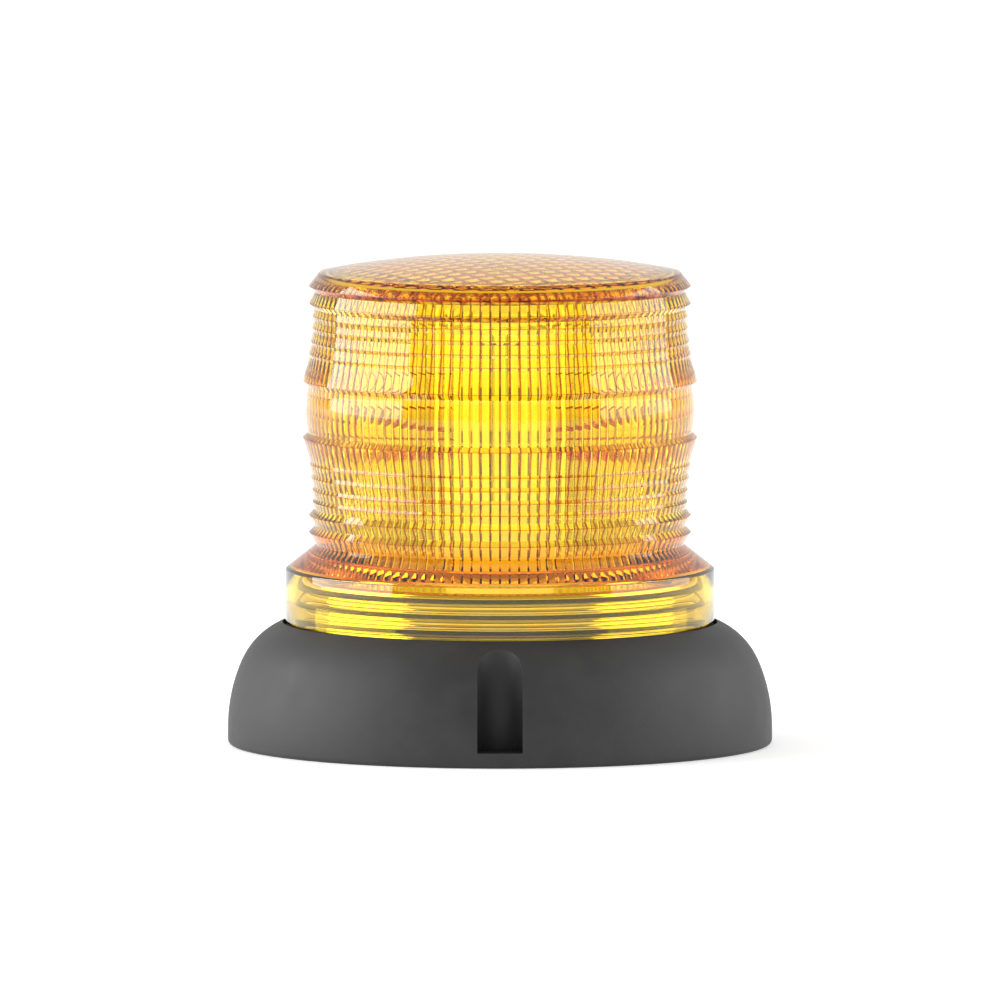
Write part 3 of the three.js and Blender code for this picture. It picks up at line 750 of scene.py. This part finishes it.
def lens_shape():
    """The outer wall, the fluted inner wall, the foot that joins them and the cells on top."""
    outside = lens_outside()
    inside = lens_inside()
    vertices = ring_rows(outside, OUTER_SIDES)
    faces = row_faces(len(outside), OUTER_SIDES)
    last = (len(outside) - 1) * OUTER_SIDES
    vertices.append((0, 0, height_of("lens", 1) * MM))
    tip = len(vertices) - 1
    faces += [(last + i, last + (i + 1) % OUTER_SIDES, tip) for i in range(OUTER_SIDES)]

    start = len(vertices)
    vertices += inner_rows(inside)
    faces += row_faces(len(inside), INNER_SIDES, start)
    share = INNER_SIDES // OUTER_SIDES
    for i in range(OUTER_SIDES):
        near = [start + (i * share + k) % INNER_SIDES for k in range(share + 1)]
        faces += [(i, a, b) for a, b in zip(near, near[1:])]
        faces.append((i, near[-1], (i + 1) % OUTER_SIDES))

    top = start + (len(inside) - 1) * INNER_SIDES
    ring = [(vertices[top + i][0] / MM, vertices[top + i][1] / MM) for i in range(INNER_SIDES)]
    points, cells = dome_cells(ring)
    first = len(vertices)
    for x, y in points:
        z = dome_height(DOME_RADIUS - DOME_WALL, sqrt(x * x + y * y)) - pillow(x, y)
        vertices.append((x * MM, y * MM, z * MM))
    for cell in cells:
        faces.append(tuple(top + i if i < INNER_SIDES else first + i - INNER_SIDES for i in cell))
    return vertices, faces


def build_lens(material):
    """The one amber moulding."""
    lens = new_object("amber_lens", lens_shape(), sharp=28.0)
    finish_piece(lens, "lens", material, ["lens"])


# ---------------------------------------------------------------- boot

BOOT_SIDES = 240
WALL_CENTRE, WALL_RADIUS, WALL_END = (28.5, 4.5), 41.5, 24.0
CROWN_CENTRE, CROWN_RADIUS = (49.04, 13.67), 19.0
FOOT_RADIUS = 1.2
SEAT_RADIUS = 55.9  # where the gasket sits
LIP_RADIUS = 51.8
LIP_THICKNESS = 1.5
NECK_RADIUS = 53.7
BODY_RADIUS = 56.3  # the hollow that the base pan fills
SLOPE_TOP, SLOPE_FOOT = 26.2, 23.7  # between the neck and that hollow
PAD_RADIUS = 52.0
PAD_THICKNESS = 2.5
POCKET_HALF = 5.8
POCKET_BACK = 65.2  # how far from the axis the pocket's round back is centred
POCKET_FLOOR = 3.9
POCKET_FRONT, POCKET_TOP = 80.0, 40.0  # past the boot's skin


def boot_profile():
    """A section of the boot's wall, from the pad round to the lip and back inside."""
    outer = radius_of("rubber_boot")
    crown_end = degrees(acos((SEAT_RADIUS - CROWN_CENTRE[0]) / CROWN_RADIUS))
    seat = height_of("lens_gasket", 0) - 0.3
    outside = [(PAD_RADIUS, 0.0)]
    outside += arc((outer - FOOT_RADIUS, FOOT_RADIUS), FOOT_RADIUS, -90, 0, 4)
    outside += arc(WALL_CENTRE, WALL_RADIUS, 0, WALL_END, 10)
    outside += arc(CROWN_CENTRE, CROWN_RADIUS, WALL_END, crown_end, 16)[1:]
    inside = [(SEAT_RADIUS, seat), (LIP_RADIUS, seat), (LIP_RADIUS, seat - LIP_THICKNESS)]
    inside += [(NECK_RADIUS, seat - LIP_THICKNESS), (NECK_RADIUS, SLOPE_TOP)]
    inside += [(BODY_RADIUS, SLOPE_FOOT)]
    inside += [(BODY_RADIUS, PAD_THICKNESS), (PAD_RADIUS, PAD_THICKNESS)]
    return outside + soften(inside, 0.2)


def pocket_shape():
    """The upright pocket in the boot's front, round at its back."""
    turns = [radians(a) for a in range(0, 181, 6)]
    back = [(POCKET_HALF * cos(a), POCKET_HALF * sin(a) - POCKET_BACK) for a in turns]
    front = [(-POCKET_HALF, -POCKET_FRONT), (POCKET_HALF, -POCKET_FRONT)]
    return prism(front + back, POCKET_FLOOR, POCKET_TOP)


def build_boot(material):
    """The domed rubber boot with its pocket."""
    boot = new_object("boot", turned(boot_profile(), BOOT_SIDES))
    cut_with(boot, pocket_shape())
    finish_piece(boot, "base", material, ["rubber_boot"])


# ---------------------------------------------------------------- base and collar

COLLAR_RADIUS = 51.4
COLLAR_INSIDE = 48.9
COLLAR_FOOT_RADIUS = 53.3
COLLAR_FOOT_TOP = 28.1
COVE_DEPTH = 1.5
HOLLOW_FOOT, HOLLOW_DEPTH = 29.8, 1.3  # under the lowest ring
HOLLOW_TOP = 0.9  # mm under that ring's middle
COLLAR_ROUND = 1.2  # round the deck's edge
RING_HALF = 0.52
RING_SEAT = 0.55  # half the height of the flat under each seal ring
DECK_THICKNESS = 2.0
DECK_BORE = 5.0
POST_CIRCLE = 45.0
POST_ANGLES = (90, 210, 330)
POST_RADIUS = 4.0
POST_FOOT = 30.2
RECESS_RADIUS = 3.1
RECESS_FLOOR = 40.1
SCREW_HOLE = 1.9
TOWER_SCREW_CIRCLE = 20.5
TOWER_SCREW_HOLE = 1.6
BUTTON_HOLE = 5.35
BUTTON_STEM = 2.0
BUTTON_FLANGE = 6.6
BUTTON_RADIUS = 5.0
FLANGE_FOOT = 38.8
FLANGE_TOP = 40.6
SPRING_GROOVE = (2.9, 4.3, 40.15)  # inner and outer radius, and how high it reaches
UNDER_POSTS, UNDER_DECK = 26.0, 38.0  # where the cuts up through them start
OVER_DECK = 2.0  # how far above the deck they end
PAD_GROOVES = range(8, 50, 8)  # radii
GROOVE_MOUTH, GROOVE_ROOF, GROOVE_DEPTH = 0.8, 0.5, 0.4  # half widths, and depth


def build_pad(material):
    """The foot pad, with round grooves on its underside."""
    top = height_of("base_pad", 1)
    outer = radius_of("base_pad")
    profile = [(0, 0.0)]
    for middle in PAD_GROOVES:
        profile += [(middle - GROOVE_MOUTH, 0.0), (middle - GROOVE_ROOF, GROOVE_DEPTH)]
        profile += [(middle + GROOVE_ROOF, GROOVE_DEPTH), (middle + GROOVE_MOUTH, 0.0)]
    profile += [(outer - 0.3, 0.0), (outer, 0.3), (outer, top), (0, top)]
    pad = new_object("foot_pad", turned(profile, 180))
    finish_piece(pad, "base", material, ["base_pad"])


def build_gasket(material):
    """The flat seal between the skirt and the boot."""
    foot, top = height_of("lens_gasket", 0), height_of("lens_gasket", 1)
    outer = radius_of("lens_gasket")
    square = [(SKIRT_BORE, foot), (outer, foot), (outer, top), (SKIRT_BORE, top)]
    gasket = new_object("lens_seal", turned(soften(square, 0.3, closed=True), 180))
    finish_piece(gasket, "gasket", material, ["lens_gasket"])


def ring_heights():
    """The middle heights of the three seal rings."""
    nodes = [f"seal_ring_{number}" for number in (1, 2, 3)]
    return [(height_of(node, 0) + height_of(node, 1)) / 2 for node in nodes]


def build_rings(material):
    """Three soft seal rings round the collar, oval in section."""
    for number, middle in enumerate(ring_heights(), 1):
        node = f"seal_ring_{number}"
        outer = radius_of(node)
        half = (outer - COLLAR_RADIUS - 0.1) / 2
        turns = [tau * i / 16 for i in range(16)]
        section = [(outer - half + half * cos(a), middle + RING_HALF * sin(a)) for a in turns]
        ring = new_object(f"collar_seal_{number}", turned(section, 180), sharp=60)
        finish_piece(ring, "base", material, [node])


def cove(low, high):
    """A hollow round the collar between two heights."""
    half = (high - low) / 2
    steps = [-1 + i / 5 for i in range(11)]
    middle = (low + high) / 2
    return [(COLLAR_RADIUS - COVE_DEPTH * sqrt(1 - s * s), middle + half * s) for s in steps]


def collar_profile():
    """A section of the collar and its deck, from the foot up the outside and back inside."""
    foot = height_of("collar_deck", 0)
    deck = height_of("collar_deck", 1)
    first, second, third = ring_heights()
    outside = [(COLLAR_INSIDE, foot), (COLLAR_FOOT_RADIUS, foot)]
    outside += [(COLLAR_FOOT_RADIUS, COLLAR_FOOT_TOP), (COLLAR_RADIUS, COLLAR_FOOT_TOP)]
    outside += [(COLLAR_RADIUS, HOLLOW_FOOT), (COLLAR_RADIUS - HOLLOW_DEPTH, first - HOLLOW_TOP)]
    outside += [(COLLAR_RADIUS, first - RING_SEAT)]
    outside += cove(first + RING_SEAT, second - RING_SEAT)
    outside += cove(second + RING_SEAT, third - RING_SEAT)
    outside += [(COLLAR_RADIUS, third + 0.5)]
    outside += arc((COLLAR_RADIUS - COLLAR_ROUND, deck - COLLAR_ROUND), COLLAR_ROUND, 0, 90, 6)
    under = deck - DECK_THICKNESS
    return outside + [(DECK_BORE, deck), (DECK_BORE, under), (COLLAR_INSIDE, under)]


def build_collar(material):
    """The bright collar and deck, with its screw pillars, their recesses and the button's hole."""
    deck = height_of("collar_deck", 1)
    inside = deck - DECK_THICKNESS / 2
    above = deck + OVER_DECK
    collar = new_object("collar", turned(collar_profile(), 180))
    for angle in POST_ANGLES:
        pillar = disc(POST_RADIUS, POST_FOOT, inside, on_circle(POST_CIRCLE, angle))
        cut_with(collar, pillar, "UNION")
    for angle in POST_ANGLES:
        cut_with(collar, disc(RECESS_RADIUS, RECESS_FLOOR, above, on_circle(POST_CIRCLE, angle)))
        cut_with(collar, disc(SCREW_HOLE, UNDER_POSTS, deck, on_circle(POST_CIRCLE, angle)))
        tower_screw = on_circle(TOWER_SCREW_CIRCLE, angle)
        cut_with(collar, disc(TOWER_SCREW_HOLE, UNDER_DECK, above, tower_screw, 16))
    cut_with(collar, disc(BUTTON_HOLE, UNDER_DECK, above, place_of("power_button"), 48))
    finish_piece(collar, "base", material, ["collar_deck"])


def build_button(material):
    """A round push button with a dished top, and a groove for its spring under the flange."""
    foot, top = height_of("power_button", 0), height_of("power_button", 1)
    inner, outer, roof = SPRING_GROOVE
    profile = [(0, foot), (BUTTON_STEM, foot), (BUTTON_STEM, FLANGE_FOOT), (inner, FLANGE_FOOT)]
    profile += [(inner, roof), (outer, roof), (outer, FLANGE_FOOT), (BUTTON_FLANGE, FLANGE_FOOT)]
    profile += [(BUTTON_FLANGE, FLANGE_TOP), (BUTTON_RADIUS, FLANGE_TOP), (BUTTON_RADIUS, top)]
    profile += [(3.6, top), (2.4, top - 0.35), (0, top - 0.45)]
    button = new_object("push_button", turned(soften(profile, 0.6), 64, place_of("power_button")))
    finish_piece(button, "button", material, ["power_button"])


# ---------------------------------------------------------------- light tower

HEAT_SINK_APOTHEM = 12.5
HEAT_SINK_HALF = 6.7  # half the width of each flat
BEAD_RADIUS = 14.6  # how far out the bead up each corner reaches
STRIP_GAP = 0.3
STRIP_THICKNESS = 1.6
STRIP_HALF = 6.3
LED_HALF = 2.7
LED_SEAT = 0.1  # how far a light sits in its board
LED_THICKNESS = 0.6
LED_DOME_FOOT = 0.5
LED_HEIGHTS = (77, 86, 95)


def build_heat_sink(material):
    """A hexagonal bar with a bead up each corner."""
    flat_end = sqrt(HEAT_SINK_APOTHEM**2 + HEAT_SINK_HALF**2)
    corner = [(flat_end, 28.1), (BEAD_RADIUS, 29.2), (BEAD_RADIUS, 30.8), (flat_end, 31.9)]
    turns = range(0, 360, 60)
    outline = [on_circle(radius, turn + angle) for turn in turns for radius, angle in corner]
    bottom, top = height_of("heat_sink", 0), height_of("heat_sink", 1)
    bar = new_object("beaded_heat_sink", prism(outline, bottom, top))
    rounded(bar, 0.2)
    finish_piece(bar, "base", material, ["heat_sink"])


def led_shape(height):
    """One light on the +X face: a square frame with a low clear dome, in millimetres."""
    face = HEAT_SINK_APOTHEM + STRIP_GAP + STRIP_THICKNESS - LED_SEAT
    low = (face, -LED_HALF, height - LED_HALF)
    frame_block = box(low, (face + LED_THICKNESS, LED_HALF, height + LED_HALF))
    cap = [(0, 0.0), (2.2, 0.0), (2.1, 0.3), (1.6, 0.55), (0.8, 0.7), (0, 0.75)]
    vertices, faces = turned(cap, 24)
    upright = [((face + LED_DOME_FOOT) * MM + z, y, height * MM - x) for x, y, z in vertices]
    return merged([frame_block, (upright, faces)])


def build_led_strips(material):
    """Six boards round the heat sink, each with its lights."""
    bottom, top = height_of("led_strip_1", 0), height_of("led_strip_1", 1)
    near = HEAT_SINK_APOTHEM + STRIP_GAP
    board = box((near, -STRIP_HALF, bottom), (near + STRIP_THICKNESS, STRIP_HALF, top))
    vertices, faces = merged([board] + [led_shape(height) for height in LED_HEIGHTS])
    for number in range(1, 7):
        a = radians(60 * (number - 1))
        spun = [(x * cos(a) - y * sin(a), x * sin(a) + y * cos(a), z) for x, y, z in vertices]
        strip = new_object(f"light_strip_{number}", (spun, faces))
        rounded(strip, 0.12)
        finish_piece(strip, "base", material, [f"led_strip_{number}"])


def build_tower_cap(material):
    """A shallow dished cap over the tower."""
    foot = height_of("tower_cap", 0)
    profile = [(2.2, 0), (14, 0), (17.5, 2), (17.5, 2.8), (13, 2.8), (10, 1.8), (2.2, 1.8)]
    section = soften([(r, foot + z) for r, z in profile], 0.5, closed=True)
    cap = new_object("dished_cap", turned(section, 96))
    finish_piece(cap, "base", material, ["tower_cap"])


def cross_outline(reach, half):
    """The plan of a cross recess."""
    quarter = [(reach, -half), (reach, half), (half, half)]
    out = []
    for turn in range(4):
        a = tau * turn / 4
        out += [(x * cos(a) - y * sin(a), x * sin(a) + y * cos(a)) for x, y in quarter]
    return out


def build_screws(material):
    """Round-headed screws with a cross recess, one for each CAD screw that points down."""
    # Radius of the shank and of the head.
    sizes = {"housing_screw": (1.5, 2.8), "tower_screw": (1.25, 2.6), "board_screw": (1.25, 2.6)}
    rows = [(f"{kind}_{number}", *size) for kind, size in sizes.items() for number in (1, 2, 3)]
    rows.append(("tower_bolt", 1.8, 3.6))
    for node, shank, head in rows:
        tip, top = height_of(node, 0), height_of(node, 1)
        seat = top - 0.8 * head
        x, y = place_of(node)
        profile = [(0, tip), (shank * 0.6, tip), (shank, tip + 0.6), (shank, seat), (head, seat)]
        profile += [(head, seat + 0.35 * head), (head * 0.85, seat + 0.6 * head)]
        profile += [(head * 0.5, top - 0.05 * head), (0, top)]
        screw = new_object(f"round_{node}", turned(profile, 32, (x, y)))
        cross = [(x + u, y + v) for u, v in cross_outline(0.5 * head, 0.12 * head)]
        cut_with(screw, prism(cross, seat + 0.3 * head, top + 1.0))
        finish_piece(screw, "base", material, [node])


# ---------------------------------------------------------------- carried-over CAD pieces


def paint_cad(materials, kept):
    """Gives each CAD node that shows its slot's material, and small rounded edges."""
    slots = {row["node"]: row["material_slot"] for row in frame["record"]["subparts"]}
    for name in kept:
        obj = frame["nodes"][name]
        obj.data.materials.clear()
        obj.data.materials.append(materials[slots[name]])
        edge = obj.modifiers.new("edge", "BEVEL")
        edge.width = 0.15 * MM
        edge.segments = 2
        edge.limit_method = "ANGLE"
        edge.angle_limit = radians(50)


def build_materials():
    """One material for each material slot of the record."""
    return {
        "amber_lens": amber_glass(),
        "boot_rubber": boot_rubber(),
        "seal_rubber": seal_rubber(),
        "black_plastic": black_plastic(),
        "white_plastic": white_plastic(),
        "reflector": reflector(),
        "steel": brushed("zinc_steel", (0.45, 0.46, 0.48), (0.62, 0.63, 0.65), (0.22, 0.38)),
        "ferrite": ferrite(),
        "aluminium": brushed("aluminium", (0.68, 0.69, 0.7), (0.8, 0.81, 0.82), (0.25, 0.42)),
        "circuit_board": circuit_board(),
        "cell_sleeve": cell_sleeve(),
        "red_wire": wire_cover("red_wire", (0.4, 0.015, 0.012), (0.5, 0.02, 0.018)),
        "led_board": led_board(),
        "button_rubber": button_rubber(),
    }


# ---------------------------------------------------------------- stage

ROOM_FRONT = 0.45  # brightness of the room behind the camera
ROOM_BACK = 0.87  # and of the backdrop behind the beacon
ROOM_FADE = (-0.5, 0.3)  # where the room goes over into the backdrop, from -1 in front to 1 behind
TARGET_HEIGHT = 62.7  # mm, what the camera looks at
FRAME_WIDTH = 257.1  # mm across the picture
CAMERA_LENS = 1000.0
SENSOR_WIDTH = 36.0
CAMERA_ELEVATION = 5.0
FLOOR_HALF, FLOOR_DEPTH, FLOOR_GAP = 9000, 20.0, 0.02  # mm
FLOOR_GLOW = 0.3
LIGHT_AIM = 0.07  # m up the beacon, where the softboxes point


def light_room(tree):
    """A white backdrop behind the beacon, a dimmer room in front, and white where the camera looks."""
    coordinates = tree.nodes.new("ShaderNodeTexCoord")
    split = tree.nodes.new("ShaderNodeSeparateXYZ")
    tree.links.new(coordinates.outputs["Generated"], split.inputs["Vector"])
    fade = tree.nodes.new("ShaderNodeMapRange")
    fade.interpolation_type = "SMOOTHSTEP"
    fade.inputs["From Min"].default_value = ROOM_FADE[0]
    fade.inputs["From Max"].default_value = ROOM_FADE[1]
    fade.inputs["To Min"].default_value = ROOM_FRONT
    fade.inputs["To Max"].default_value = ROOM_BACK
    tree.links.new(split.outputs["Y"], fade.inputs["Value"])
    path = tree.nodes.new("ShaderNodeLightPath")
    seen = tree.nodes.new("ShaderNodeMath")
    seen.operation = "MAXIMUM"
    tree.links.new(path.outputs["Is Camera Ray"], seen.inputs[0])
    tree.links.new(fade.outputs["Result"], seen.inputs[1])
    tree.links.new(seen.outputs["Value"], tree.nodes["Background"].inputs["Strength"])
    tree.nodes["Background"].inputs["Color"].default_value = (1.0, 1.0, 1.0, 1.0)


def build_stage():
    """A pale floor and the room's light."""
    nodes = Nodes("floor_paper", (0.9, 0.9, 0.9), 0.8)
    nodes.glow((1.0, 1.0, 1.0), FLOOR_GLOW)
    low = (-FLOOR_HALF, -FLOOR_HALF, -FLOOR_DEPTH)
    floor = new_object("floor", box(low, (FLOOR_HALF, FLOOR_HALF, -FLOOR_GAP)))
    floor.data.materials.append(nodes.material)

    world = bpy.data.worlds.new("studio")
    bpy.context.scene.world = world
    world.use_nodes = True
    light_room(world.node_tree)


def softbox(name, azimuth, strength, size=(3.0, 2.2), distance=2.4, height=0.72):
    """A flat light that faces the beacon, azimuth degrees round from the camera to the right.

    Its size, distance and height are in metres, and its strength is in watts.
    """
    light = bpy.data.lights.new(name, "AREA")
    light.shape = "RECTANGLE"
    light.size, light.size_y = size
    light.energy = strength
    lamp = bpy.data.objects.new(name, light)
    bpy.context.scene.collection.objects.link(lamp)
    angle = radians(azimuth)
    lamp.location = (distance * sin(angle), -distance * cos(angle), height)
    aim = Vector((0, 0, LIGHT_AIM)) - lamp.location
    lamp.rotation_euler = aim.to_track_quat("-Z", "Y").to_euler()


def build_camera():
    """A long lens in front of the beacon, a little above it."""
    data = bpy.data.cameras.new("camera")
    data.lens = CAMERA_LENS
    data.sensor_width = SENSOR_WIDTH
    data.clip_end = 100.0
    camera = bpy.data.objects.new("camera", data)
    distance = FRAME_WIDTH * MM * CAMERA_LENS / SENSOR_WIDTH
    tilt = radians(CAMERA_ELEVATION)
    camera.location = (0, -distance * cos(tilt), TARGET_HEIGHT * MM + distance * sin(tilt))
    camera.rotation_euler = (pi / 2 - tilt, 0, 0)
    bpy.context.scene.collection.objects.link(camera)
    bpy.context.scene.camera = camera


# ---------------------------------------------------------------- the whole scene

build_camera()
build_stage()
softbox("softbox_left", -90, 98)
softbox("softbox_right", 92, 55)
bpy.context.scene.view_settings.view_transform = "Standard"

materials = build_materials()
build_lens(materials["amber_lens"])
build_boot(materials["boot_rubber"])
build_pad(materials["seal_rubber"])
build_gasket(materials["seal_rubber"])
build_rings(materials["seal_rubber"])
build_collar(materials["reflector"])
build_button(materials["button_rubber"])
build_heat_sink(materials["aluminium"])
build_led_strips(materials["led_board"])
build_tower_cap(materials["white_plastic"])
build_screws(materials["steel"])
paint_cad(materials, [name for name in frame["nodes"] if name not in REBUILT])

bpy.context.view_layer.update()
